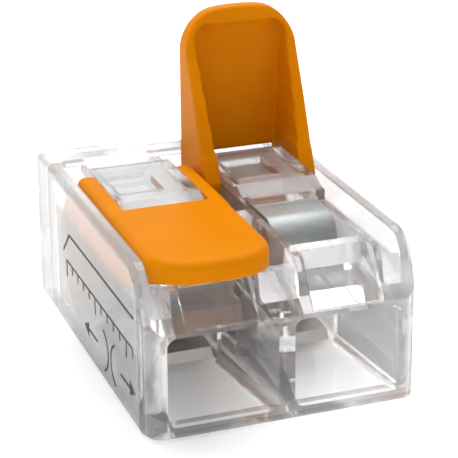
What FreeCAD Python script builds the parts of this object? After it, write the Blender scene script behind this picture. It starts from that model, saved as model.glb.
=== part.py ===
"""Two-pole lever wire connector: a clear housing, a rear cover, a busbar and a clamp for each pole.

The frame stands on the housing's underside. X runs across the poles, Y from the wire entries
at the front (negative) to the rear cover (positive), and Z up. All sizes are millimetres.
Each pole is the same set of cuts and pieces about its own middle plane, x = +/- pole_offset.
The left lever rests closed and the right lever rests open.
"""
import FreeCAD, Part
import Sketcher
import os
import re
from math import cos, pi, sin

SIZES = {
    # whole connector
    "overall_width": 13.1, "overall_depth": 18.7, "wall_top": 7.85, "pole_offset": 2.98,
    # sloped and stepped front
    "front_top": 5.2, "slope_run": 1.8, "brow_round": 1.5, "collar_depth": 1.0,
    "collar_inset": 0.15, "collar_rise": 0.2, "collar_round": 0.75,
    "edge_round": 0.35,
    # wire entry funnel, from its mouth to its throat
    "mouth_width": 5.2, "mouth_floor": 0.7, "mouth_roof": 4.98, "mouth_round": 0.45,
    "throat_width": 3.8, "throat_roof": 4.95, "throat_drop": 0.1, "funnel_depth": 5.7,
    # chamber of one pole and the cheeks that stand between it and the lever's arms
    "chamber_half": 1.7, "chamber_floor": 0.75, "chamber_roof": 7.5, "arch_room": 1.6,
    "cheek_top": 7.35, "lug_window_ahead": 3.55, "lug_window_length": 2.1,
    "lug_window_low": 2.8, "lug_window_high": 5.3,
    # open recess in front of the block, seen when the lever is up
    "lip_inset": 2.95, "lip_top": 7.3, "lip_lean": 0.3, "lip_thick": 0.2, "recess_floor": 5.6,
    "panel_inset": 0.3, "panel_foot": 5.2, "panel_crest": 2.25,
    # slots of the lever's arms
    "slot_floor": 5.4, "slot_bend": 7.0, "slot_foot_ahead": 3.5, "slot_foot": 2.95, "slot_wall": 0.2,
    "slot_rear": 0.15,
    # block between the lever's arms
    "block_top": 8.2, "block_ahead": 2.35, "block_behind": 2.4, "block_slant": 1.1,
    "window_length": 2.8, "window_width": 2.2, "window_depth": 0.4, "window_inset": 0.8,
    "window_shift": 0.55, "block_gap": 0.3, "plate_gap": 0.1, "bar_ahead": 0.9, "bar_width": 0.75, "bar_rise": 0.15, "bar_slant": 0.1,
    "bar_short": 0.8,
    # rear cover
    "cover_depth": 2.45, "seam_gap": 0.03, "plug_length": 0.62, "plug_gap": 0.06,
    "groove_inset": 1.35, "groove_width": 0.6, "groove_depth": 0.3, "groove_short": 1.0,
    "cover_round": 0.7,
    "probe_radius": 0.65, "probe_height": 3.1,
    # lever
    "pivot_from_rear": 7.35, "pivot_z": 4.5, "lever_half": 2.9, "arm": 0.8, "disc_radius": 3.2,
    "tip_inset": 0.25, "plate_top": 3.7, "plate_thick": 0.6, "tip_lip": 1.0, "rim_width": 0.9,
    "prong_reach": 1.9, "prong_round": 0.8, "notch_edge": 3.6, "crown_radius": 10.0,
    "tip_corner": 1.7, "lever_edge": 0.3, "scoop_round": 0.3, "hub_radius": 1.55, "boss_radius": 0.7,
    "boss_length": 0.3, "cam_start": 8.0, "cam_end": 96.0, "open_angle": 90.0,
    "prong_foot": 1.5, "belly_front": 6.6, "belly_front_z": 1.1, "wing_front": 2.2, "wing_front_z": 2.2,
    "wing_tip": 0.6, "belly_rear_z": 0.35, "crown_waste": 4.0, "rim_depth": 0.85, "scoop_run": 1.3,
    # running clearances
    "side_gap": 0.05, "disc_gap": 0.07, "sweep_gap": 0.1, "boss_gap": 0.05,
    # spring strip
    "strip_width": 3.2, "strip_thick": 0.3, "arch_ahead": 5.0, "arch_z": 6.25, "arch_outer": 1.2,
    "arch_turn": 143.0, "leg_length": 5.95, "root_gap": 0.04, "contact_reach": 0.95,
    "hook_drop": 0.9, "lug_at": 3.25, "lug_length": 0.6, "lug_reach": 2.8, "leg_lift": 28.0,
    # busbar
    "bar_thick": 0.5, "tongue_ahead": 5.3, "tongue_slant": 0.25, "tongue_half": 1.6, "upright_inset": 1.7,
    "upright_top": 7.05, "link_top": 2.4, "rib_ahead": 1.1, "rib_radius": 0.22, "link_gap": 0.06,
    "port_half": 1.0, "port_bottom": 1.9, "port_top": 4.6,
    # how far a cut runs past the face it opens, and how deep a joined block sinks in
    "past": 1.0, "sunk": 0.2,
}
WORD = re.compile(r"[a-z][a-z_]+")

doc = FreeCAD.newDocument("LeverConnector")
sheet = doc.addObject("Spreadsheet::Sheet", "sizes")
for row, (alias, value) in enumerate(SIZES.items(), start=1):
    sheet.set(f"A{row}", alias)
    sheet.set(f"B{row}", str(value))
    sheet.setAlias(f"B{row}", alias)
doc.recompute()


def rule(text):
    """Turn a rule written in plain size names into an expression on the sheet."""
    return WORD.sub(lambda hit: "sizes." + hit.group() if hit.group() in SIZES else hit.group(), text)


def size(alias):
    """Read one driving size back from the sheet."""
    return float(sheet.get(alias))


def new_body(label):
    body = doc.addObject("PartDesign::Body", label)
    body.Label = label
    return body


def new_sketch(body, role, offset="0"):
    """Add a sketch on an origin plane of the body, moved along the plane's normal."""
    plane = [item for item in body.Origin.OriginFeatures if item.Role == role][0]
    sketch = body.newObject("Sketcher::SketchObject", f"{body.Label}_sketch")
    sketch.AttachmentSupport = [(plane, "")]
    sketch.MapMode = "FlatFace"
    sketch.setExpression("AttachmentOffset.Base.z", rule(offset))
    return sketch


def place_point(sketch, geometry, point, across, up):
    """Hold one point of a sketch at two rules measured from the sketch's origin."""
    for kind, text in (("DistanceX", across), ("DistanceY", up)):
        index = sketch.addConstraint(Sketcher.Constraint(kind, -1, 1, geometry, point, 1.0))
        sketch.setExpression(f"Constraints[{index}]", rule(text))


def outline(sketch, corners):
    """Draw a closed outline whose corners follow pairs of rules."""
    count = len(corners)
    ring = [FreeCAD.Vector(cos(2 * pi * k / count), sin(2 * pi * k / count), 0) for k in range(count)]
    for k in range(count):
        sketch.addGeometry(Part.LineSegment(ring[k], ring[(k + 1) % count]))
    for k in range(count):
        sketch.addConstraint(Sketcher.Constraint("Coincident", k, 2, (k + 1) % count, 1))
    for k, (across, up) in enumerate(corners):
        place_point(sketch, k, 1, across, up)


def rectangle(sketch, left, right, low, high):
    outline(sketch, [(left, low), (right, low), (right, high), (left, high)])


def circle(sketch, across, up, radius):
    index = sketch.addGeometry(Part.Circle(FreeCAD.Vector(1, 1, 0), FreeCAD.Vector(0, 0, 1), 1.0))
    place_point(sketch, index, 3, across, up)
    held = sketch.addConstraint(Sketcher.Constraint("Radius", index, 1.0))
    sketch.setExpression(f"Constraints[{held}]", rule(radius))


def grown(feature):
    """Volume that a feature added to its body; negative where it took material away."""
    doc.recompute()
    before = feature.BaseFeature.Shape.Volume if feature.BaseFeature else 0.0
    return feature.Shape.Volume - before


def both_ways(body, kind, sketch, length):
    """Pad or pocket a sketch the same distance to each side; length is the whole distance."""
    feature = body.newObject(f"PartDesign::{kind}", f"{body.Label}_{kind.lower()}")
    feature.Profile = sketch
    feature.SideType = "Symmetric"
    feature.setExpression("Length", rule(length))
    assert grown(feature) * (1 if kind == "Pad" else -1) > 0, f"{feature.Label} changes nothing"
    return feature


def slab(body, kind, x_middle, width, corners):
    """Pad or pocket a side outline, given in (y, z), across a width about x_middle."""
    sketch = new_sketch(body, "YZ_Plane", x_middle)
    outline(sketch, corners)
    return both_ways(body, kind, sketch, width)


def disc(body, kind, x_middle, width, centre, radius):
    """Pad or pocket a round of the side view, given in (y, z), across a width."""
    sketch = new_sketch(body, "YZ_Plane", x_middle)
    circle(sketch, centre[0], centre[1], radius)
    return both_ways(body, kind, sketch, width)


def round_edges(body, radius, chosen):
    """Fillet the edges of the body's tip that the test picks out."""
    doc.recompute()
    tip = body.Tip
    names = [f"Edge{n}" for n, edge in enumerate(tip.Shape.Edges, start=1) if chosen(edge)]
    assert names, f"no edge to round on {body.Label}"
    fillet = body.newObject("PartDesign::Fillet", f"{body.Label}_fillet")
    fillet.Base = (tip, names)
    fillet.setExpression("Radius", rule(radius))
    doc.recompute()
    assert fillet.isValid() and fillet.Shape.isValid(), f"{body.Label} can't take a round of {radius}"


def runs(edge, axis):
    """Tell whether an edge is straight and runs along one axis."""
    if len(edge.Vertexes) != 2 or edge.Curve.TypeId != "Part::GeomLine":
        return False
    step = edge.Vertexes[1].Point - edge.Vertexes[0].Point
    return abs(getattr(step, axis)) > 0.999 * step.Length


def near(edge, **spots):
    """Tell whether an edge's middle lies at the given coordinates."""
    middle = edge.CenterOfMass
    return all(abs(getattr(middle, axis) - spot) < 0.02 for axis, spot in spots.items())


def stand(body, across, along, up, turn):
    """Place a body that is drawn in its own frame and turn it about X."""
    body.Placement = FreeCAD.Placement(FreeCAD.Vector(), FreeCAD.Rotation(FreeCAD.Vector(1, 0, 0), 1.0))
    for axis, text in (("x", across), ("y", along), ("z", up)):
        body.setExpression(f"Placement.Base.{axis}", rule(text))
    body.setExpression("Placement.Rotation.Angle", rule(turn))


# ---- places that several pieces share, as rules on the sheet ---------------------------------

FRONT = "-overall_depth / 2"
COLLAR = "collar_depth - overall_depth / 2"
COLLAR_TOP = "front_top + collar_depth * (wall_top - front_top) / slope_run"
BROW = "slope_run - overall_depth / 2"
SEAM = "overall_depth / 2 - cover_depth"
PIVOT_Y = "(overall_depth / 2 - pivot_from_rear)"
PIVOT = (PIVOT_Y, "pivot_z")
TIP = f"({PIVOT_Y} + overall_depth / 2 - tip_inset)"
ARCH_Y = f"({PIVOT_Y} - arch_ahead)"
UPRIGHT = f"({SEAM} - upright_inset)"
LIP = f"({FRONT} + lip_inset)"
THROAT = f"({FRONT} + funnel_depth)"
BLOCK_FRONT = f"({PIVOT_Y} - block_ahead)"
BLOCK_FOOT = f"({BLOCK_FRONT} - block_slant)"
BLOCK_REAR = f"({PIVOT_Y} + block_behind)"
SWEEP = "(plate_top + sweep_gap + slot_rear)"
ABOVE = "block_top + past"
SLOT_SILL = "pivot_z - prong_reach - sweep_gap"
POLES = {"left": "-pole_offset", "right": "pole_offset"}
LEVER_WIDTH = "2 * lever_half"
BETWEEN_ARMS = "2 * (lever_half - arm)"


def housing_shell(body):
    """Outer walls: the long body, the inset collar round its front and the blocks on its top."""
    slab(body, "Pad", "0", "overall_width", [
        (COLLAR, "0"), (COLLAR, COLLAR_TOP), (BROW, "wall_top"), (SEAM, "wall_top"), (SEAM, "0")])
    brow_y = size("slope_run") - size("overall_depth") / 2
    round_edges(body, "brow_round", lambda e: runs(e, "x") and near(e, y=brow_y, z=size("wall_top")))
    side_x = size("overall_width") / 2
    seam_y = size("overall_depth") / 2 - size("cover_depth")
    round_edges(body, "edge_round", lambda e: abs(abs(e.CenterOfMass.x) - side_x) < 0.02
                and not near(e, y=seam_y))
    slab(body, "Pad", "0", "overall_width - 2 * collar_inset", [
        (FRONT, "collar_rise"), (FRONT, "front_top"), (COLLAR, COLLAR_TOP),
        (f"{COLLAR} + collar_depth", COLLAR_TOP), (f"{COLLAR} + collar_depth", "collar_rise")])
    collar_x = side_x - size("collar_inset")
    front_y = -size("overall_depth") / 2
    round_edges(body, "collar_round", lambda e: runs(e, "z") and abs(abs(e.CenterOfMass.x) - collar_x) < 0.02
                and abs(e.CenterOfMass.y - front_y) < 0.02)
    for pole in POLES.values():
        slab(body, "Pad", pole, f"{BETWEEN_ARMS} - 2 * side_gap", [
            (BLOCK_FRONT, "block_top"), (BLOCK_REAR, "block_top"), (BLOCK_REAR, "chamber_roof"),
            (BLOCK_FOOT, "chamber_roof"), (BLOCK_FOOT, "wall_top - sunk / 2")])
    bar = f"{SEAM} - bar_ahead"
    slab(body, "Pad", "0", "overall_width - 2 * bar_short", [
        (bar, "wall_top - sunk"), (f"{bar} + bar_width", "wall_top - sunk"),
        (f"{bar} + bar_width - bar_slant", "wall_top + bar_rise"), (f"{bar} + bar_slant", "wall_top + bar_rise")])


def housing_funnel(body, pole):
    """Tapering wire entry of one pole, with rounded corners."""
    mouth = new_sketch(body, "XZ_Plane", "overall_depth / 2")
    rectangle(mouth, f"{pole} - mouth_width / 2", f"{pole} + mouth_width / 2", "mouth_floor", "mouth_roof")
    throat = new_sketch(body, "XZ_Plane", "overall_depth / 2 - funnel_depth")
    rectangle(throat, f"{pole} - throat_width / 2", f"{pole} + throat_width / 2",
              "chamber_floor", "throat_roof")
    loft = body.newObject("PartDesign::SubtractiveLoft", f"{body.Label}_funnel")
    loft.Profile = mouth
    loft.Sections = [throat]
    loft.Ruled = True
    assert grown(loft) < 0, "the funnel cuts nothing"
    middle_y = -size("overall_depth") / 2 + size("funnel_depth") / 2
    side = 1 if pole == POLES["right"] else -1
    middle_x = side * size("pole_offset")
    round_edges(body, "mouth_round", lambda e: near(e, y=middle_y)
                and 1.5 < abs(e.CenterOfMass.x - middle_x) < 2.6)


def housing_chamber(body, pole):
    """Room for the busbar and the spring, open to the rear and to the recess in front of the block."""
    width = "2 * chamber_half"
    slab(body, "Pocket", pole, width, [
        (f"{SEAM} + past", "chamber_floor"), (f"{SEAM} + past", "chamber_roof"),
        (f"{BLOCK_FOOT} - block_gap", "chamber_roof"), (f"{BLOCK_FOOT} - block_gap", ABOVE),
        (LIP, ABOVE), (LIP, "lip_top"), (f"{LIP} + lip_lean", "recess_floor"),
        (f"{ARCH_Y} - arch_room", "recess_floor"), (f"{ARCH_Y} - arch_room", "throat_roof - throat_drop"),
        (THROAT, "throat_roof - throat_drop"), (THROAT, "chamber_floor")])
    slab(body, "Pocket", pole, width, [
        (f"{FRONT} + panel_inset", "panel_foot"), (f"{FRONT} + panel_crest", "lip_top"),
        (f"{LIP} + lip_thick", "lip_top"), (f"{LIP} + lip_thick", ABOVE), (f"{FRONT} - past", ABOVE),
        (f"{FRONT} - past", "panel_foot")])


def housing_lever_room(body, pole):
    """Clearance for the lever's plate and the holes and windows through the cheeks."""
    slab(body, "Pocket", pole, f"{LEVER_WIDTH} + 2 * side_gap", [
        (f"{FRONT} - past", "cheek_top"), (f"{FRONT} - past", ABOVE), (f"{BLOCK_FOOT} - plate_gap", ABOVE),
        (f"{BLOCK_FOOT} - plate_gap", "cheek_top")])
    through = f"{BETWEEN_ARMS} + 2 * side_gap"
    disc(body, "Pocket", pole, through, PIVOT, "boss_radius + boss_gap")
    lug_front = f"({PIVOT_Y} - lug_window_ahead)"
    lug_window = [(lug_front, "lug_window_low"), (f"{lug_front} + lug_window_length", "lug_window_low"),
                  (f"{lug_front} + lug_window_length", "lug_window_high"), (lug_front, "lug_window_high")]
    slab(body, "Pocket", pole, through, lug_window)
    window = new_sketch(body, "XY_Plane", "block_top")
    middle = f"{pole} - window_shift"
    rectangle(window, f"{middle} - window_width / 2", f"{middle} + window_width / 2",
              f"{BLOCK_FRONT} + window_inset", f"{BLOCK_FRONT} + window_inset + window_length")
    both_ways(body, "Pocket", window, "2 * window_depth")


def arm_slots(body):
    """Slots for the arms: one at each side wall and one that two arms share in the middle."""
    outer = "pole_offset + lever_half - arm / 2"
    slots = [("0", "2 * (pole_offset - lever_half + arm + side_gap)")]
    slots += [(f"{sign}({outer})", "arm + 2 * side_gap") for sign in ("", "-")]
    for middle, width in slots:
        slab(body, "Pocket", middle, width, [
            (f"{COLLAR} + slot_wall", "slot_floor"), (f"{PIVOT_Y} - slot_bend", "slot_floor"),
            (f"{PIVOT_Y} - slot_foot_ahead", "slot_foot"), (PIVOT_Y, "pivot_z - disc_radius + past"),
            (PIVOT_Y, ABOVE), (f"{COLLAR} + slot_wall", ABOVE)])
        disc(body, "Pocket", middle, width, PIVOT, "disc_radius + disc_gap")
        slab(body, "Pocket", middle, width, [
            (PIVOT_Y, SLOT_SILL), (f"{PIVOT_Y} + {SWEEP}", SLOT_SILL),
            (f"{PIVOT_Y} + {SWEEP}", ABOVE), (PIVOT_Y, ABOVE)])


def make_housing():
    body = new_body("housing")
    housing_shell(body)
    for pole in POLES.values():
        housing_funnel(body, pole)
        housing_chamber(body, pole)
        housing_lever_room(body, pole)
    arm_slots(body)
    slab(body, "Pocket", "0", "2 * pole_offset", [
        (f"{UPRIGHT} - link_gap", "chamber_floor"), (f"{SEAM} + past", "chamber_floor"),
        (f"{SEAM} + past", "link_top + link_gap"), (f"{UPRIGHT} - link_gap", "link_top + link_gap")])
    return body


def make_rear_cover():
    """Clear plate that closes the rear, with a plug into each chamber and a probe hole."""
    body = new_body("rear_cover")
    slab(body, "Pad", "0", "overall_width", [
        (f"{SEAM} + seam_gap", "0"), (f"{SEAM} + seam_gap", "wall_top"), ("overall_depth / 2", "wall_top"),
        ("overall_depth / 2", "0")])
    rear_y = size("overall_depth") / 2
    side_x = size("overall_width") / 2
    round_edges(body, "cover_round", lambda e: runs(e, "x") and near(e, y=rear_y, z=size("wall_top")))
    round_edges(body, "edge_round", lambda e: abs(abs(e.CenterOfMass.x) - side_x) < 0.02
                and not near(e, y=rear_y - size("cover_depth") + size("seam_gap")))
    groove = "overall_depth / 2 - groove_inset"
    slab(body, "Pocket", "0", "overall_width - 2 * groove_short", [
        (groove, "wall_top + past"), (f"{groove} + groove_width", "wall_top + past"),
        (f"{groove} + groove_width", "wall_top - groove_depth"), (groove, "wall_top - groove_depth")])
    for pole in POLES.values():
        slab(body, "Pad", pole, "2 * (chamber_half - plug_gap)", [
            (f"{SEAM} - plug_length", "chamber_floor + plug_gap"),
            (f"{SEAM} - plug_length", "chamber_roof - plug_gap"),
            (f"{SEAM} + seam_gap + sunk", "chamber_roof - plug_gap"),
            (f"{SEAM} + seam_gap + sunk", "chamber_floor + plug_gap")])
        probe = new_sketch(body, "XZ_Plane", f"-({SEAM})")
        circle(probe, pole, "probe_height", "probe_radius")
        both_ways(body, "Pocket", probe, "3 * cover_depth")
    return body


def make_busbar():
    """Tinned copper bar: a tongue and an upright for each pole, joined by a link across the rear."""
    body = new_body("busbar")
    floor_top = "chamber_floor + bar_thick"
    for pole in POLES.values():
        slab(body, "Pad", pole, "2 * tongue_half", [
            (f"{PIVOT_Y} - tongue_ahead", "chamber_floor"), (f"{PIVOT_Y} - tongue_ahead + tongue_slant", floor_top),
            (UPRIGHT, floor_top), (UPRIGHT, "upright_top"),
            (f"{UPRIGHT} + bar_thick", "upright_top"), (f"{UPRIGHT} + bar_thick", "chamber_floor")])
        if pole == POLES["left"]:
            slab(body, "Pad", "0", "2 * pole_offset", [
                (UPRIGHT, "chamber_floor"), (UPRIGHT, "link_top"),
                (f"{UPRIGHT} + bar_thick", "link_top"), (f"{UPRIGHT} + bar_thick", "chamber_floor")])
    for pole in POLES.values():
        port = new_sketch(body, "XZ_Plane", f"-({UPRIGHT} + bar_thick / 2)")
        rectangle(port, f"{pole} - port_half", f"{pole} + port_half", "port_bottom", "port_top")
        both_ways(body, "Pocket", port, "3 * bar_thick")
        disc(body, "Pad", pole, "2 * tongue_half", (f"{PIVOT_Y} - rib_ahead", f"{floor_top} - rib_radius / 2"), "rib_radius")
    return body


def make_spring(side):
    """Fixed part of one clamping spring: the contact leg with its hook, and the arch."""
    body = new_body(f"spring_{side}")
    crown, end = "arch_z + arch_outer", f"{UPRIGHT} + contact_reach"
    slab(body, "Pad", "0", "strip_width", [
        (ARCH_Y, crown), (end, crown), (end, f"{crown} - hook_drop"), (f"{end} - strip_thick", f"{crown} - hook_drop"),
        (f"{end} - strip_thick", f"{crown} - strip_thick"), (ARCH_Y, f"{crown} - strip_thick")])
    section = new_sketch(body, "XZ_Plane", f"-{ARCH_Y}")
    section.setExpression("AttachmentOffset.Base.y", rule("arch_z"))
    rectangle(section, "-strip_width / 2", "strip_width / 2", "arch_outer - strip_thick", "arch_outer")
    arch = body.newObject("PartDesign::Revolution", f"{body.Label}_arch")
    arch.Profile = section
    arch.ReferenceAxis = (section, ["H_Axis"])
    arch.setExpression("Angle", rule("arch_turn"))
    arch_y = size("overall_depth") / 2 - size("pivot_from_rear") - size("arch_ahead")
    if grown(arch) <= 0 or arch.Shape.BoundBox.YMin > arch_y - size("arch_outer") / 2:
        arch.Reversed = True
        assert grown(arch) > 0, "the arch adds nothing"
    stand(body, POLES[side], "0", "0", "0")
    return body


def make_clamp_leg(side, lift):
    """Moving leg of one clamping spring, with two side lugs, in a frame at the arch's centre."""
    body = new_body(f"clamp_leg_{side}")

    def strip(low, high):
        """Stretch of the leg's side view between two distances along it from the arch's end."""
        lean = "(arch_turn - 90)"
        corners = [(low, "arch_outer"), (high, "arch_outer"), (high, "arch_outer - strip_thick"),
                   (low, "arch_outer - strip_thick")]
        return [(f"({along}) * sin({lean}) - ({out}) * cos({lean})",
                 f"-({along}) * cos({lean}) - ({out}) * sin({lean})") for along, out in corners]

    slab(body, "Pad", "0", "strip_width", strip("root_gap", "leg_length"))
    slab(body, "Pad", "0", "2 * lug_reach", strip("lug_at - lug_length / 2", "lug_at + lug_length / 2"))
    stand(body, POLES[side], ARCH_Y, "arch_z", lift)
    return body


def lever_side(body):
    """Side view of the lever, closed, about its pivot: plate, tapering side walls and discs."""
    slab(body, "Pad", "0", LEVER_WIDTH, [
        (f"-{TIP}", "plate_top - tip_lip"), (f"-{TIP}", "plate_top"), ("prong_reach", "plate_top"),
        ("prong_reach", "prong_foot"), ("0", "0"), ("-disc_radius - disc_gap", "-belly_rear_z"),
        ("-belly_front", "belly_front_z"), (f"wing_front - {TIP}", "wing_front_z"),
        (f"wing_tip - {TIP}", "plate_top - tip_lip")])
    prong_y = size("prong_reach")
    round_edges(body, "prong_round", lambda e: runs(e, "x") and near(e, y=prong_y, z=size("plate_top")))
    disc(body, "Pad", "0", LEVER_WIDTH, ("0", "0"), "disc_radius")


def make_lever(side, turn):
    """Lever of one pole in a frame at its pivot: a scooped plate on two arms with cam notches."""
    body = new_body(f"lever_{side}")
    lever_side(body)
    crown = new_sketch(body, "XY_Plane", "plate_top")
    for wider in ("", " + crown_waste"):
        circle(crown, "0", f"crown_radius - {TIP}", f"crown_radius{wider}")
    both_ways(body, "Pocket", crown, "4 * plate_top")
    tip = size("overall_depth") - size("pivot_from_rear") - size("tip_inset")
    round_edges(body, "tip_corner", lambda e: runs(e, "z") and e.CenterOfMass.y < -0.8 * tip)
    top_z = size("plate_top")
    round_edges(body, "lever_edge", lambda e: near(e, z=top_z) and e.CenterOfMass.y < 0.9)
    slab(body, "Pocket", "0", BETWEEN_ARMS, [
        (f"rim_width - {TIP}", "plate_top - tip_lip - past"), (f"rim_width - {TIP}", "plate_top - rim_depth"),
        (f"rim_width + scoop_run - {TIP}", "plate_top - plate_thick"), ("-notch_edge", "plate_top - plate_thick"),
        ("-notch_edge", "plate_top + past"), ("disc_radius + past", "plate_top + past"),
        ("disc_radius + past", "-disc_radius - past"), ("-disc_radius - past", "-disc_radius - past")])
    wall_x, under_z = size("lever_half") - size("arm"), size("plate_top") - size("plate_thick")
    round_edges(body, "scoop_round", lambda e: abs(abs(e.CenterOfMass.x) - wall_x) < 0.02
                and near(e, z=under_z) and runs(e, "y"))
    cam_middle = "((cam_start + cam_end) / 2)"
    slab(body, "Pocket", "0", f"{LEVER_WIDTH} + past", [("0", "0")] + [
        (f"-disc_radius * {far} * cos({angle})", f"-disc_radius * {far} * sin({angle})")
        for far, angle in (("1.3", "cam_start"), ("1.6", cam_middle), ("1.3", "cam_end"))])
    for sign in ("", "-"):
        disc(body, "Pad", f"{sign}(lever_half - arm / 2)", "arm", ("0", "0"), "hub_radius")
        disc(body, "Pad", f"{sign}(lever_half - arm - boss_length / 2)", "boss_length",
             ("0", "0"), "boss_radius")
    stand(body, POLES[side], PIVOT_Y, "pivot_z", turn)
    return body


def fault(body):
    """Say what is wrong with a finished body, or nothing."""
    if body.Shape.isNull() or not body.Shape.isValid():
        return f"{body.Label} has no valid shape"
    if len(body.Shape.Solids) != 1:
        return f"{body.Label} is {len(body.Shape.Solids)} solids"
    return ""


bodies = [make_housing(), make_rear_cover(), make_busbar()]
for side, turn, lift in (("left", "0", "0"), ("right", "-open_angle", "leg_lift")):
    bodies += [make_spring(side), make_clamp_leg(side, lift), make_lever(side, turn)]
doc.recompute()

faults = [f"{item.Label} is {item.State}" for item in doc.Objects
          if "Invalid" in item.State or "Error" in item.State]
faults += [fault(body) for body in bodies if fault(body)]
assert not faults, "; ".join(faults)

os.makedirs("parts", exist_ok=True)
for body in bodies:
    box = body.Shape.BoundBox
    print(f"{body.Label}: volume {body.Shape.Volume:.2f}, x {box.XMin:.2f} {box.XMax:.2f}, "
          f"y {box.YMin:.2f} {box.YMax:.2f}, z {box.ZMin:.2f} {box.ZMax:.2f}")
    body.Shape.exportStep(f"parts/{body.Label}.step")
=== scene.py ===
# %% [markdown]
# # A two-pole lever wire connector
# The real thing is a clear moulded housing, about as big as a fingertip, that joins two stripped wires.
# Each orange lever is closed to clamp a wire and lifted to let it go. Inside lie a tinned copper bar and
# two spring strips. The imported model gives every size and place, so this lesson only adds the looks:
# camera, light, finishes, and the softer shapes that moulding and bending leave behind.

# %% Load the connector and keep its box
import math

import bmesh
import bpy
import numpy as np
from mathutils import Matrix, Quaternion, Vector


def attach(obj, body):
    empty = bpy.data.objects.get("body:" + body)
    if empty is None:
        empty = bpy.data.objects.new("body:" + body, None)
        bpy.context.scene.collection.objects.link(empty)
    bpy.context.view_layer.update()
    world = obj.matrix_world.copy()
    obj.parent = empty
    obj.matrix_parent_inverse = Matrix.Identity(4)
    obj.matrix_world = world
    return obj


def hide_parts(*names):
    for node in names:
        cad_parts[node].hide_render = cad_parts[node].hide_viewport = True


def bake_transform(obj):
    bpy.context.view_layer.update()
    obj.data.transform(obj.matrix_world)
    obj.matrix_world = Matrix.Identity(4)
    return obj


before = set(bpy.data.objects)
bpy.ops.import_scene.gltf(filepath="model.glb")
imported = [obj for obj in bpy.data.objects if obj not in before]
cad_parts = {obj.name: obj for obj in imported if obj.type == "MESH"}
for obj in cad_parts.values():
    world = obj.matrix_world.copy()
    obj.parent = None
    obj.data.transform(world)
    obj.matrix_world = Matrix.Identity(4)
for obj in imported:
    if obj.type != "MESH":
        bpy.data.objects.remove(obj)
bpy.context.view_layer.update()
MM = 0.001
CLEAR_PARTS = ("housing", "rear_cover")
SIDES = ("left", "right")
print("pieces from the model:", sorted(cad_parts))

# %% [markdown]
# ## Camera
# A long lens far back keeps the walls of a small object nearly parallel, as in a catalogue view. It
# looks down by about 21 degrees from the front left, so the top, the entries and one wall all show.

# %% Set up the camera
AIM = Vector((0.675, 0.0, 5.838)) * MM
TURN, TILT, ROLL = math.radians(-19.87), math.radians(21.398), math.radians(-0.463)
DISTANCE = 85.98 * MM


def aim_camera():
    """Put a long-lens camera on a ray from the aim point and level it, with a slight roll."""
    back = Vector((math.sin(TURN) * math.cos(TILT), -math.cos(TURN) * math.cos(TILT), math.sin(TILT)))
    lens = bpy.data.cameras.new("catalogue_lens")
    lens.lens = 139.4
    lens.sensor_width = 36.0
    lens.clip_start = 0.002
    lens.clip_end = 10.0
    camera = bpy.data.objects.new("catalogue_camera", lens)
    camera.location = AIM + back * DISTANCE
    camera.rotation_mode = "QUATERNION"
    camera.rotation_quaternion = (-back).to_track_quat("-Z", "Y") @ Quaternion((0, 0, 1), ROLL)
    bpy.context.scene.collection.objects.link(camera)
    bpy.context.scene.camera = camera
    return camera


camera = aim_camera()
print("camera at", [round(v / MM, 1) for v in camera.location], "mm")

# %% [markdown]
# ## Small helpers for finishes
# Colours are easiest to read as screen colours, but light is added up in linear values, so one function
# turns the first into the second. Another adds a shader node, fills its sockets and links it in one go.


# %% Helpers for finishes
def linear(code, alpha=1.0):
    """Turn a screen colour such as #F58A10 into the linear values that a shader wants."""
    parts = [int(code[k:k + 2], 16) / 255 for k in (1, 3, 5)]
    return [p / 12.92 if p <= 0.04045 else ((p + 0.055) / 1.055) ** 2.4 for p in parts] + [alpha]


def add(tree, kind, settings=None, **sockets):
    """Add one node. A socket is named with _ for a space, or i and its number; a socket value is linked."""
    node = tree.nodes.new(kind)
    for name, value in (settings or {}).items():
        setattr(node, name, value)
    for name, value in sockets.items():
        numbered = name[0] == "i" and name[1:].isdigit()
        socket = node.inputs[int(name[1:]) if numbered else name.replace("_", " ")]
        if isinstance(value, bpy.types.NodeSocket):
            tree.links.new(value, socket)
        else:
            socket.default_value = value
    return node


def ramp(tree, factor, stops):
    """Add a colour ramp with the given (place, screen colour) stops."""
    node = add(tree, "ShaderNodeValToRGB", Fac=factor)
    while len(node.color_ramp.elements) < len(stops):
        node.color_ramp.elements.new(0.5)
    for element, (place, code) in zip(node.color_ramp.elements, stops):
        element.position = place
        element.color = linear(code)
    return node.outputs["Color"]


def new_finish(name):
    """Start a material with an empty node tree and its output."""
    finish = bpy.data.materials.new(name)
    finish.use_nodes = True
    finish.node_tree.nodes.clear()
    return finish, finish.node_tree, finish.node_tree.nodes.new("ShaderNodeOutputMaterial")


print("orange in linear values:", [round(v, 3) for v in linear("#F58A10")])
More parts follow.
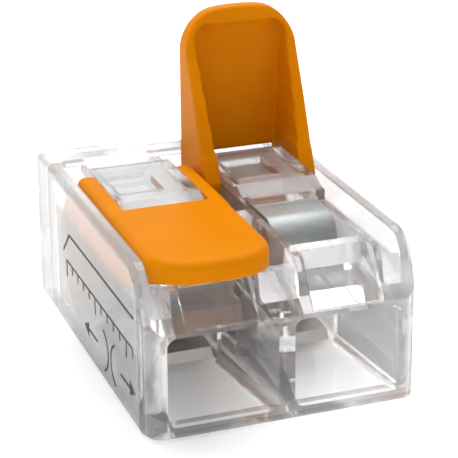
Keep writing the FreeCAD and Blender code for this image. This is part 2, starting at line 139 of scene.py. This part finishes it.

# %% [markdown]
# ## Clear polycarbonate
# The housing and its rear cover are injection moulded from clear polycarbonate. It bends light strongly
# (IOR 1.585). Its edges are painted grey where the surface turns away from the view, a painted shade for the
# dark that clear edges bend in, while its faces stay bright. The melt leaves faint flow ripples about
# 1.5 mm apart. Handling leaves a finer haze, drawn at 0.35 mm so that it shows. The two side walls carry a
# frosted panel, which the mould's etched steel leaves there. Some light also passes straight through, and
# rays that only ask for shadow always do: without that, a clear part would cast a black shadow.


# %% Clear moulded polycarbonate
def clear_polycarbonate():
    """Clear plastic with painted grey shade on edges that face away, faint ripples and haze, and frosted side
    panels.
    """
    finish, tree, out = new_finish("clear_moulded_polycarbonate")
    place = add(tree, "ShaderNodeTexCoord").outputs["Object"]
    flow = add(tree, "ShaderNodeTexNoise", Vector=place, Scale=1 / (1.5 * MM), Detail=2.0, Roughness=0.4)
    haze = add(tree, "ShaderNodeTexNoise", Vector=place, Scale=1 / (0.35 * MM), Detail=3.0, Roughness=0.6)
    relief = add(tree, "ShaderNodeBump", Strength=0.3, Distance=0.04 * MM, Height=flow.outputs["Fac"])
    split = add(tree, "ShaderNodeSeparateXYZ", Vector=place)
    offset = add(tree, "ShaderNodeMath", {"operation": "ABSOLUTE"}, i0=split.outputs["X"])
    wall = add(tree, "ShaderNodeMapRange", Value=offset.outputs["Value"], From_Min=6.50 * MM,
               From_Max=6.54 * MM)
    etched = wall.outputs["Result"]
    for axis, middle, reach in (("Y", -1.3, 6.6), ("Z", 3.5, 2.9)):
        shift = add(tree, "ShaderNodeMath", {"operation": "SUBTRACT"}, i0=split.outputs[axis], i1=middle * MM)
        away = add(tree, "ShaderNodeMath", {"operation": "ABSOLUTE"}, i0=shift.outputs["Value"])
        panel = add(tree, "ShaderNodeMapRange", Value=away.outputs["Value"], From_Min=(reach + 0.12) * MM,
                    From_Max=(reach - 0.12) * MM)
        etched = add(tree, "ShaderNodeMath", {"operation": "MULTIPLY"}, i0=etched,
                     i1=panel.outputs["Result"]).outputs["Value"]
    polish = add(tree, "ShaderNodeMapRange", Value=haze.outputs["Fac"], To_Min=0.012, To_Max=0.055)
    rough = add(tree, "ShaderNodeMath", {"operation": "MULTIPLY_ADD"}, i0=etched, i1=0.16,
                i2=polish.outputs["Result"])
    clarity = add(tree, "ShaderNodeMapRange", Value=etched, To_Min=0.95, To_Max=0.66)
    # Painted shade: the colour turns grey where the surface turns away from the view, standing in for dark
    # surroundings bent in by clear edges.
    slant = add(tree, "ShaderNodeLayerWeight", Blend=0.5).outputs["Facing"]
    face = ramp(tree, slant, [(0.0, "#FFFFFF"), (0.7, "#FDFDFD"), (0.88, "#C8CACA"), (0.98, "#4C4E4E")])
    # This mixes the painted edge shade with the real grey of the etched panels.
    painted_edge_shade_and_etch = add(tree, "ShaderNodeMix", {"data_type": "RGBA"}, i0=etched, i6=face, i7=linear("#A4A6A6"))
    tone = painted_edge_shade_and_etch.outputs[2]
    body = add(tree, "ShaderNodeBsdfPrincipled", Base_Color=tone, IOR=1.585, Roughness=rough.outputs["Value"],
               Transmission_Weight=clarity.outputs["Result"], Normal=relief.outputs["Normal"])
    light = add(tree, "ShaderNodeLightPath")
    gap = add(tree, "ShaderNodeBsdfTransparent", Color=linear("#FBFBFB"))
    pale = add(tree, "ShaderNodeMixShader", Fac=0.14, i1=body.outputs["BSDF"], i2=gap.outputs["BSDF"])
    mixed = add(tree, "ShaderNodeMixShader", Fac=light.outputs["Is Shadow Ray"],
                i1=pale.outputs["Shader"], i2=gap.outputs["BSDF"])
    tree.links.new(mixed.outputs["Shader"], out.inputs["Surface"])
    return finish


clear_plastic = clear_polycarbonate()
print("made", clear_plastic.name)

# %% [markdown]
# ## Orange polyamide
# The levers are moulded from a dyed, semi-gloss polyamide. The mould is spark eroded, which leaves a grain
# of about 0.05 mm that softens the shine. Drawn at 0.12 mm, it is coarse enough to show. Thin walls let a
# little light scatter inside the plastic, which warms its shaded side.


# %% Orange moulded polyamide
def orange_polyamide():
    """Dyed plastic with a cloudy tone and a fine grain that softens the shine."""
    finish, tree, out = new_finish("orange_moulded_polyamide")
    place = add(tree, "ShaderNodeTexCoord").outputs["Object"]
    grain = add(tree, "ShaderNodeTexNoise", Vector=place, Scale=1 / (0.12 * MM), Detail=2.0)
    cloud = add(tree, "ShaderNodeTexNoise", Vector=place, Scale=1 / (2.5 * MM), Detail=3.0)
    tone = ramp(tree, cloud.outputs["Fac"], [(0.3, "#D87E00"), (0.7, "#DE8500")])
    gloss = add(tree, "ShaderNodeMapRange", Value=cloud.outputs["Fac"], To_Min=0.33, To_Max=0.45)
    relief = add(tree, "ShaderNodeBump", Strength=0.08, Distance=0.01 * MM, Height=grain.outputs["Fac"])
    body = add(tree, "ShaderNodeBsdfPrincipled", Base_Color=tone, Roughness=gloss.outputs["Result"], IOR=1.4,
               Subsurface_Weight=0.06, Subsurface_Scale=0.4 * MM, Normal=relief.outputs["Normal"])
    body.inputs["Specular IOR Level"].default_value = 0.05
    body.inputs["Subsurface Radius"].default_value = (1.0, 0.45, 0.1)
    tree.links.new(body.outputs["BSDF"], out.inputs["Surface"])
    return finish


orange_plastic = orange_polyamide()
print("made", orange_plastic.name)

# %% [markdown]
# ## Tinned copper and rolled spring steel
# The bar is stamped from copper strip and dipped in tin, which leaves a soft, cloudy grey with a warm
# tint. The springs are cold rolled stainless steel, and rolling leaves fine lines along the strip, here
# 0.08 mm apart so that they show.


# %% Metals
def metal(name, tones, rough, stretch, spacing):
    """A metal whose tone and roughness follow noise, stretched along Y where rolling has drawn it out."""
    finish, tree, out = new_finish(name)
    place = add(tree, "ShaderNodeTexCoord").outputs["Object"]
    drawn = add(tree, "ShaderNodeMapping", Vector=place, Scale=(1.0, stretch, 1.0))
    mottle = add(tree, "ShaderNodeTexNoise", Vector=drawn.outputs["Vector"], Scale=1 / (spacing * MM),
                 Detail=4.0)
    tone = ramp(tree, mottle.outputs["Fac"], [(0.3, tones[0]), (0.7, tones[1])])
    gloss = add(tree, "ShaderNodeMapRange", Value=mottle.outputs["Fac"], To_Min=rough[0], To_Max=rough[1])
    relief = add(tree, "ShaderNodeBump", Strength=0.1, Distance=0.003 * MM, Height=mottle.outputs["Fac"])
    body = add(tree, "ShaderNodeBsdfPrincipled", Base_Color=tone, Metallic=1.0,
               Roughness=gloss.outputs["Result"], Normal=relief.outputs["Normal"])
    tree.links.new(body.outputs["BSDF"], out.inputs["Surface"])
    return finish


tinned_copper = metal("tinned_copper_strip", ("#D3CDC8", "#E2DEDA"), (0.4, 0.55), 1.0, 0.6)
spring_steel = metal("rolled_stainless_strip", ("#9A9D9D", "#AAADAD"), (0.46, 0.54), 0.03, 0.08)
print("made", tinned_copper.name, "and", spring_steel.name)

# %% [markdown]
# ## Dress the model's own pieces
# Where the model's shape is right, the piece keeps it and only gets a finish. No moulded or stamped edge
# is truly sharp, and a sharp one catches no light, so a small bevel rounds each edge.

# %% Dress the pieces
FINISHES = {"housing": clear_plastic, "rear_cover": clear_plastic, "busbar": tinned_copper,
            "spring_left": spring_steel, "spring_right": spring_steel, "clamp_leg_left": spring_steel,
            "clamp_leg_right": spring_steel, "lever_left": orange_plastic, "lever_right": orange_plastic}
EDGE_ROUND = {"housing": 0.13, "rear_cover": 0.13, "busbar": 0.04, "lever_left": 0.12, "lever_right": 0.12}


def dress(name):
    """Give one of the model's pieces its finish and, if it has one, its edge rounding in mm."""
    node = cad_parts[name]
    node.data.materials.clear()
    node.data.materials.append(FINISHES[name])
    if name in EDGE_ROUND:
        rounding = node.modifiers.new("edge_round", "BEVEL")
        rounding.width = EDGE_ROUND[name] * MM
        rounding.segments = 2
        rounding.limit_method = "ANGLE"
        rounding.angle_limit = math.radians(35)
        rounding.harden_normals = True
    return len(node.data.polygons)


for name in FINISHES:
    print(name, "has", dress(name), "faces")

# %% [markdown]
# ## Levers
# The moulded lever is a thumb-wide plate with a deep, smooth scoop under it. Its side walls are thin along
# the rim and swell into the plate, so that the mould lets go and the thumb finds no sharp corner. A solid
# model draws such a scoop with flat floors, so each lever is made again here: a fresh front is worked out
# as a height over its outline, the arms and discs are kept from the model, and a fine voxel remesh melts
# the two into one moulding with soft edges. The work is done in millimetres, then brought to metres.

# %% Outline and heights of a closed lever about its pivot, in mm
PIVOT = {"left": Vector((-2.98, 2.0, 4.5)), "right": Vector((2.98, 2.0, 4.5))}
LEVER_TURN = {"left": 0.0, "right": -math.pi / 2}
LEVER_HALF, LEVER_TIP, PLATE_TOP, PLATE_UNDER = 2.9, -11.1, 3.7, 3.1
TIP_CORNER, CROWN, RIM = 1.7, 20.0, 0.5
JOIN, NOTCH = -4.3, -3.62
SCOOP_FRONT, SCOOP_CORNER, WALL_AT_JOIN, WALL_STARTS = LEVER_TIP + 0.75, 0.8, 0.78, -9.5
TOP_ROUND, EDGE_ROLL, FLOOR_FILLET = 0.42, 0.16, 0.12
WALL_EDGE = ([-11.1, -10.4, -8.9, -6.6, -3.3], [2.7, 2.66, 2.2, 1.1, -0.3])


def inside(u, v, half, tip, corner):
    """Distance inward from an outline that is open to the rear and rounded at its tip."""
    across = np.abs(u) - (half - corner)
    along = (tip + corner) - v
    beyond = np.hypot(np.maximum(across, 0), np.maximum(along, 0))
    return corner - beyond - np.minimum(np.maximum(across, along), 0)


def rolled(depth, radius):
    """How far an edge rolls away at a given depth inside it; nothing once past the radius."""
    x = np.clip(1 - depth / radius, 0, 1)
    return radius * (1 - np.sqrt(1 - x * x))


def lever_heights(u, v):
    """Top and underside heights of the lever's front, from its rim to the floor of its scoop."""
    straight = v - u * u / CROWN
    rim = inside(u, straight, LEVER_HALF, LEVER_TIP, TIP_CORNER)
    top = PLATE_TOP - rolled(rim, TOP_ROUND)
    edge = np.interp(v, *WALL_EDGE) + rolled(rim, EDGE_ROLL)
    wall = np.interp(v, [WALL_STARTS, JOIN], [RIM, WALL_AT_JOIN])
    scoop = inside(u, v, LEVER_HALF - wall, SCOOP_FRONT, SCOOP_CORNER)
    slant = np.interp(v, [WALL_STARTS, JOIN], [0.12, 0.03])
    draft = np.clip(scoop / slant, 0, 1) ** 0.5
    reach = np.interp(np.abs(u), [1.2, 1.8], [1.4, 0.4])
    tip_fillet = np.sqrt(1 - np.clip(1 - (v - SCOOP_FRONT) / reach, 0, 1) ** 2)
    floor = PLATE_UNDER - rolled(np.maximum(scoop - slant, 0), FLOOR_FILLET)
    return top, edge + (floor - edge) * draft * tip_fillet


print("lever is", 2 * LEVER_HALF, "mm wide and", round(PLATE_TOP - PLATE_UNDER, 2), "mm thick over its scoop")


# %% Lever front as a closed mesh
def lever_front(form, rows=84, columns=85):
    """Add the scooped front between the tip and the join to a bmesh."""
    ease = np.linspace(0, 1, rows)
    lengths = LEVER_TIP + (NOTCH - LEVER_TIP) * ease ** 1.6
    spread = np.sin(np.linspace(-1, 1, columns) * math.pi / 2)
    corner = np.clip(LEVER_TIP + TIP_CORNER - lengths, 0, TIP_CORNER)
    half = LEVER_HALF - TIP_CORNER + np.sqrt(TIP_CORNER ** 2 - corner ** 2)
    u = half[:, None] * spread[None, :]
    v = lengths[:, None] + (1 - ease[:, None] ** 4) * u * u / CROWN
    top, under = lever_heights(u, v)
    sheets = []
    for height in (top, under):
        sheets.append([[form.verts.new((u[i, j], v[i, j], height[i, j])) for j in range(columns)]
                       for i in range(rows)])
    for i in range(rows - 1):
        for j in range(columns - 1):
            for sheet, flip in zip(sheets, (1, -1)):
                ring = [sheet[i][j], sheet[i][j + 1], sheet[i + 1][j + 1], sheet[i + 1][j]]
                form.faces.new(ring[::flip])
    border = [(0, j) for j in range(columns)] + [(i, columns - 1) for i in range(1, rows)]
    border += [(rows - 1, j) for j in range(columns - 2, -1, -1)] + [(i, 0) for i in range(rows - 2, 0, -1)]
    for (i, j), (k, m) in zip(border, border[1:] + border[:1]):
        form.faces.new((sheets[1][i][j], sheets[1][k][m], sheets[0][k][m], sheets[0][i][j]))


def lever_rear(form, side):
    """Add the model's own arms and discs, cut off at the join, in the closed lever's frame in mm."""
    form.from_mesh(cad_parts["lever_" + side].data)
    bmesh.ops.remove_doubles(form, verts=form.verts, dist=1e-7)
    to_mm = Matrix.Scale(1 / MM, 4)
    undo = Matrix.Rotation(-LEVER_TURN[side], 4, "X") @ Matrix.Translation(-PIVOT[side])
    bmesh.ops.transform(form, matrix=undo @ to_mm, verts=form.verts)
    cut = bmesh.ops.bisect_plane(form, geom=form.verts[:] + form.edges[:] + form.faces[:],
                                 plane_co=(0, JOIN, 0), plane_no=(0, -1, 0), clear_outer=True)
    rims = [item for item in cut["geom_cut"] if isinstance(item, bmesh.types.BMEdge)]
    bmesh.ops.holes_fill(form, edges=rims)


# %% [markdown]
# ## Melting the two halves together
# The front and the arms overlap where they meet. A voxel remesh keeps only their shared outer skin, finer
# than the thinnest wall, and a light smoothing takes off the voxel steps.

# %% Melt front and arms together
def baked(obj):
    """Mesh of an object with its modifiers applied."""
    bpy.context.view_layer.update()
    return bpy.data.meshes.new_from_object(obj.evaluated_get(bpy.context.evaluated_depsgraph_get()))


def make_lever(side):
    """One whole lever in metres, at its own place and angle, riding its own body."""
    form = bmesh.new()
    lever_rear(form, side)
    lever_front(form)
    bmesh.ops.recalc_face_normals(form, faces=form.faces)
    rough = bpy.data.meshes.new("rough")
    form.to_mesh(rough)
    form.free()
    piece = bpy.data.objects.new("moulded_lever_" + side, rough)
    bpy.context.scene.collection.objects.link(piece)
    melt = piece.modifiers.new("melt", "REMESH")
    melt.mode = "VOXEL"
    melt.voxel_size = 0.075
    soften = piece.modifiers.new("soften", "SMOOTH")
    soften.iterations = 5
    soften.factor = 0.5
    done = baked(piece)
    piece.modifiers.clear()
    turn = Matrix.Rotation(LEVER_TURN[side], 4, "X")
    done.transform(Matrix.Scale(MM, 4) @ Matrix.Translation(PIVOT[side]) @ turn)
    done.shade_smooth()
    done.materials.clear()
    done.materials.append(orange_plastic)
    piece.data = done
    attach(piece, "lever_" + side)
    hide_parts("lever_" + side)
    return piece


levers = {side: make_lever(side) for side in SIDES}
for side, piece in levers.items():
    print(piece.name, "has", len(piece.data.polygons), "faces, box",
          [[round(c / MM, 2) for c in corner] for corner in (piece.bound_box[0], piece.bound_box[6])])

# %% [markdown]
# ## Springs
# On the real object each spring is one strip: a contact leg with a small hook, an arch, and a clamping leg
# with two side lugs. The model cuts it at the arch so that the clamping leg can turn, so here it is bent
# again as one strip. Between the arch's crown and its end the strip is bent further where its lever stands
# open.

# %% One bent strip for each pole
ARCH, ARCH_RADIUS, STRIP_HALF, STRIP_THICK = (-3.0, 6.25), 1.05, 1.6, 0.3
LEG_LENGTH, CONTACT_END, HOOK_DROP, ARCH_TURN = 5.95, 6.15, 0.9, 143.0
LUG_SPAN, LUG_REACH = (2.95, 3.55), 2.8
LEG_LIFT = {"left": 0.0, "right": 28.0}
POLE_X = {"left": -2.98, "right": 2.98}


def strip_line(lift):
    """Middle line of the strip in (y, z) from hook to clamping edge, and where the arch ends."""
    top = ARCH[1] + ARCH_RADIUS
    line = [(CONTACT_END - 0.15, top - HOOK_DROP + 0.15), (CONTACT_END - 0.15, top - 0.22),
            (CONTACT_END - 0.22, top - 0.07), (CONTACT_END - 0.4, top)]
    line += [(y, top) for y in np.linspace(CONTACT_END - 1.0, ARCH[0] + 0.4, 8)]
    for degrees in np.linspace(0, ARCH_TURN + lift, 25):
        angle = math.radians(degrees)
        line.append((ARCH[0] - ARCH_RADIUS * math.sin(angle), ARCH[1] + ARCH_RADIUS * math.cos(angle)))
    end = line[-1]
    lean = math.radians(180 - ARCH_TURN - lift)
    along = (math.cos(lean), -math.sin(lean))
    line += [(end[0] + d * along[0], end[1] + d * along[1])
             for d in (1.0, 2.0, LUG_SPAN[0], LUG_SPAN[1], 4.4, 5.3, LEG_LENGTH)]
    return line, end


def make_strip(side):
    """One spring as a single bent strip with its two lugs, running from the housing to its clamping leg."""
    line, end = strip_line(LEG_LIFT[side])
    form = bmesh.new()
    rings = []
    for k, (y, z) in enumerate(line):
        before, after = line[max(k - 1, 0)], line[min(k + 1, len(line) - 1)]
        step = Vector((after[0] - before[0], after[1] - before[1])).normalized()
        out = Vector((-step.y, step.x)) * STRIP_THICK / 2
        section = ((-STRIP_HALF, 1), (STRIP_HALF, 1), (STRIP_HALF, -1), (-STRIP_HALF, -1))
        rings.append([form.verts.new((x, y + sign * out.x, z + sign * out.y)) for x, sign in section])
    for one, two in zip(rings, rings[1:]):
        for a, b in ((0, 1), (1, 2), (2, 3), (3, 0)):
            form.faces.new((one[a], one[b], two[b], two[a]))
    form.faces.new(rings[0][::-1])
    form.faces.new(rings[-1])
    lug = len(line) - 5
    for a, b, reach in ((1, 2, LUG_REACH), (3, 0, -LUG_REACH)):
        ends = [rings[lug][a], rings[lug][b], rings[lug + 1][b], rings[lug + 1][a]]
        outer = [form.verts.new((reach, v.co.y, v.co.z)) for v in ends]
        for m in range(4):
            form.faces.new((ends[m], ends[(m + 1) % 4], outer[(m + 1) % 4], outer[m]))
        form.faces.new(outer[::-1])
    covered = [{rings[lug][a], rings[lug][b], rings[lug + 1][b], rings[lug + 1][a]}
               for a, b in ((1, 2), (3, 0))]
    doubled = [face for face in form.faces if set(face.verts) in covered]
    bmesh.ops.delete(form, geom=doubled, context="FACES_ONLY")
    bmesh.ops.recalc_face_normals(form, faces=form.faces)
    bmesh.ops.translate(form, vec=(POLE_X[side], 0, 0), verts=form.verts)
    bmesh.ops.scale(form, vec=(MM, MM, MM), verts=form.verts)
    mesh = bpy.data.meshes.new("bent_spring_" + side)
    form.to_mesh(mesh)
    form.free()
    piece = bpy.data.objects.new("bent_spring_" + side, mesh)
    bpy.context.scene.collection.objects.link(piece)
    rounding = piece.modifiers.new("sheared_edge", "BEVEL")
    rounding.width = 0.05 * MM
    rounding.segments = 2
    rounding.angle_limit = math.radians(40)
    piece.data = baked(piece)
    piece.modifiers.clear()
    piece.data.shade_smooth()
    piece.data.materials.append(spring_steel)
    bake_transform(piece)
    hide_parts("spring_" + side, "clamp_leg_" + side)
    return piece


strips = {side: make_strip(side) for side in SIDES}
for piece in strips.values():
    print(piece.name, "has", len(piece.data.polygons), "faces")

# %% [markdown]
# ## Strip gauge
# A mark printed on the wall shows how far to strip a wire. It is pad printed: a soft pad lays down ink a
# few hundredths of a millimetre thick. Here it is plain ticks, a line and arrows on a thin film of ink.


# %% Pad-printed ink
def pad_ink():
    """Near-black ink with a slightly blotchy tone and shine."""
    finish, tree, out = new_finish("pad_printed_ink")
    place = add(tree, "ShaderNodeTexCoord").outputs["Object"]
    blot = add(tree, "ShaderNodeTexNoise", Vector=place, Scale=1 / (0.15 * MM), Detail=3.0)
    tone = ramp(tree, blot.outputs["Fac"], [(0.35, "#101011"), (0.75, "#2A2A2C")])
    gloss = add(tree, "ShaderNodeMapRange", Value=blot.outputs["Fac"], To_Min=0.45, To_Max=0.7)
    body = add(tree, "ShaderNodeBsdfPrincipled", Base_Color=tone, Roughness=gloss.outputs["Result"])
    tree.links.new(body.outputs["BSDF"], out.inputs["Surface"])
    return finish


ink = pad_ink()
INK_X = (-6.551, -6.563)


def stroke(form, points, width):
    """Lay a ribbon of ink of one width along points given in (y, z) on the left wall."""
    for (y0, z0), (y1, z1) in zip(points, points[1:]):
        step = Vector((y1 - y0, z1 - z0))
        side = Vector((-step.y, step.x)).normalized() * width / 2
        ends = [(y0 + side.x, z0 + side.y), (y1 + side.x, z1 + side.y), (y1 - side.x, z1 - side.y),
                (y0 - side.x, z0 - side.y)]
        plate(form, ends)


def plate(form, corners):
    """A thin flat plate of ink with the given (y, z) corners."""
    near, far = [[form.verts.new((x, y, z)) for y, z in corners] for x in INK_X]
    count = len(corners)
    form.faces.new(near)
    form.faces.new(far[::-1])
    for k in range(count):
        form.faces.new((near[k], far[k], far[(k + 1) % count], near[(k + 1) % count]))


def arc(centre, radius, start, stop, count=9):
    """Points of an arc in (y, z) between two angles in degrees."""
    return [(centre[0] + radius * math.cos(math.radians(a)), centre[1] + radius * math.sin(math.radians(a)))
            for a in np.linspace(start, stop, count)]


def make_gauge():
    """The printed scale on the left wall: two lines, ticks, two arrows and two arcs."""
    form = bmesh.new()
    stroke(form, [(2.95, 5.45), (-7.6, 5.45)], 0.13)
    stroke(form, [(2.95, 5.45), (4.1, 4.3)], 0.13)
    for k in range(12):
        tall = 0.85 if k % 5 == 0 else 0.45
        stroke(form, [(3.6 - k, 3.9), (3.6 - k, 3.9 - tall)], 0.11)
    stroke(form, [(3.6, 3.9), (-7.4, 3.9)], 0.1)
    for tip, way in ((0.6, 1), (-7.6, -1)):
        stroke(form, [(tip - way * 0.5, 1.75), (tip - way * 2.2, 1.75)], 0.13)
        plate(form, [(tip, 1.75), (tip - way * 0.75, 2.12), (tip - way * 0.75, 1.38)])
    for y, start, stop in ((-2.0, 110, 250), (-5.2, -70, 70)):
        stroke(form, arc((y - 0.3 if start > 0 else y + 0.3, 1.75), 1.1, start, stop), 0.13)
    bmesh.ops.recalc_face_normals(form, faces=form.faces)
    bmesh.ops.scale(form, vec=(MM, MM, MM), verts=form.verts)
    mesh = bpy.data.meshes.new("printed_strip_gauge")
    form.to_mesh(mesh)
    form.free()
    mesh.materials.append(ink)
    piece = bpy.data.objects.new("printed_strip_gauge", mesh)
    bpy.context.scene.collection.objects.link(piece)
    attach(piece, "base")
    return piece


gauge = make_gauge()
print(gauge.name, "has", len(gauge.data.polygons), "faces")

# %% [markdown]
# ## Floor and light
# A catalogue view is set on a white sweep under large soft lights. Here the sky itself is the soft
# light: bright overhead, darker towards the sides, so that clear edges have something dark to bend in.


# %% Floor
def make_floor():
    """A plain white sheet just under the connector."""
    mesh = bpy.data.meshes.new("white_sweep")
    form = bmesh.new()
    bmesh.ops.create_grid(form, x_segments=4, y_segments=4, size=1.5)
    form.to_mesh(mesh)
    form.free()
    floor = bpy.data.objects.new("white_sweep", mesh)
    floor.location.z = -0.02 * MM
    bpy.context.scene.collection.objects.link(floor)
    finish, tree, out = new_finish("white_paper_sweep")
    paper = add(tree, "ShaderNodeBsdfPrincipled", Base_Color=linear("#F4F4F4"), Roughness=0.9,
                Emission_Color=linear("#FFFFFF"), Emission_Strength=0.2)
    paper.inputs["Specular IOR Level"].default_value = 0.1
    tree.links.new(paper.outputs["BSDF"], out.inputs["Surface"])
    mesh.materials.append(finish)
    return floor


floor = make_floor()
print("floor at z", floor.location.z)


# %% [markdown]
# ## Sky and lamp
# The sky is a soft slope of grey, tipped towards the rear, and one square lamp above and behind gives the
# orange plastic and the metal a gentle shine.

# %% Sky and lamp
def make_sky():
    """A sky that is bright overhead and behind, and grey low down."""
    world = bpy.data.worlds.new("soft_sky")
    bpy.context.scene.world = world
    world.use_nodes = True
    tree = world.node_tree
    tree.nodes.clear()
    out = tree.nodes.new("ShaderNodeOutputWorld")
    way = add(tree, "ShaderNodeTexCoord").outputs["Generated"]
    lean = add(tree, "ShaderNodeVectorMath", {"operation": "DOT_PRODUCT"}, i0=way, i1=(-0.15, 0.3, 0.94))
    place = add(tree, "ShaderNodeMapRange", Value=lean.outputs["Value"], From_Min=-1.0)
    tone = ramp(tree, place.outputs["Result"],
                [(0.3, "#909090"), (0.52, "#A8A8A8"), (0.76, "#CCCCCC"), (0.93, "#FFFFFF")])
    glow = add(tree, "ShaderNodeBackground", Color=tone, Strength=1.3)
    tree.links.new(glow.outputs["Background"], out.inputs["Surface"])
    return world


def make_lamp(name, spot, size, power):
    """A square soft light that faces the connector."""
    light = bpy.data.lights.new(name, "AREA")
    light.shape = "SQUARE"
    light.size = size
    light.energy = power
    lamp = bpy.data.objects.new(name, light)
    lamp.location = spot
    lamp.rotation_mode = "QUATERNION"
    lamp.rotation_quaternion = (AIM - Vector(spot)).to_track_quat("-Z", "Y")
    bpy.context.scene.collection.objects.link(lamp)
    return lamp


sky = make_sky()
top_box = make_lamp("top_softbox", (0.05, 0.12, 0.25), 0.2, 0.35)
bpy.context.scene.view_settings.view_transform = "Standard"
bpy.context.scene.view_settings.look = "None"
bpy.context.scene.cycles.max_bounces = 24
bpy.context.scene.cycles.transmission_bounces = 24
bpy.context.scene.cycles.transparent_max_bounces = 16
